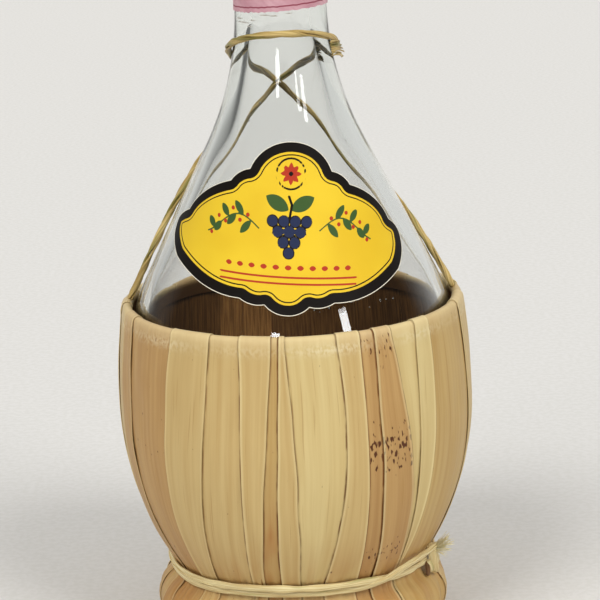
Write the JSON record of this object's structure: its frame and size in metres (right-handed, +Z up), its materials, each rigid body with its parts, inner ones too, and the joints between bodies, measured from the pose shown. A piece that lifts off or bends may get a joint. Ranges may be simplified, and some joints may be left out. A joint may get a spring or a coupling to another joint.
{
  "type": "straw-covered wine flask",
  "caption": "Round-bottomed clear glass wine flask in a basket of dried husk strips, tied at the waist and to the neck with raffia, with a paper label and a cork.",
  "frame": {"origin": "centre of the foot ring on the floor", "axes": "+Z up along the bottle's axis, -Y towards the label"},
  "size_m": [0.1225, 0.1226, 0.291],
  "materials": {
    "glass": "clear flint glass, faint green",
    "cork": "natural cork",
    "label_paper": "printed paper, satin",
    "seal_paper": "uncoated pink paper",
    "raffia": "twisted raffia",
    "straw": "rolled straw",
    "husk": "dried husk, satin"
  },
  "bodies": {
    "bottle": {"glass_flask": "glass", "front_label": "label_paper", "neck_seal_strip": "seal_paper", "neck_cord": "raffia", "rim_hoop": "raffia", "waist_binding": "raffia", "binding_knot": "raffia", "foot_ring": "straw", "husk_strip_01": "husk", "husk_strip_02": "husk", "husk_strip_03": "husk", "husk_strip_04": "husk", "husk_strip_05": "husk", "husk_strip_06": "husk", "husk_strip_07": "husk", "husk_strip_08": "husk", "husk_strip_09": "husk", "husk_strip_10": "husk", "husk_strip_11": "husk", "husk_strip_12": "husk", "husk_strip_13": "husk", "husk_strip_14": "husk", "husk_strip_15": "husk", "husk_strip_16": "husk", "husk_strip_17": "husk", "husk_strip_18": "husk", "husk_strip_19": "husk", "husk_strip_20": "husk", "husk_strip_21": "husk", "husk_strip_22": "husk", "husk_strip_23": "husk", "husk_strip_24": "husk", "husk_strip_25": "husk", "husk_strip_26": "husk", "husk_strip_27": "husk", "husk_strip_28": "husk", "husk_strip_29": "husk", "husk_strip_30": "husk", "husk_strip_31": "husk", "husk_strip_32": "husk"},
    "cork": {"cork_stopper": "cork"}
  },
  "joints": [
    {"name": "cork_pull", "type": "slide", "parent": "bottle", "child": "cork", "axis": [0, 0, 1], "range_m": [0, 0.05]}
  ]
}
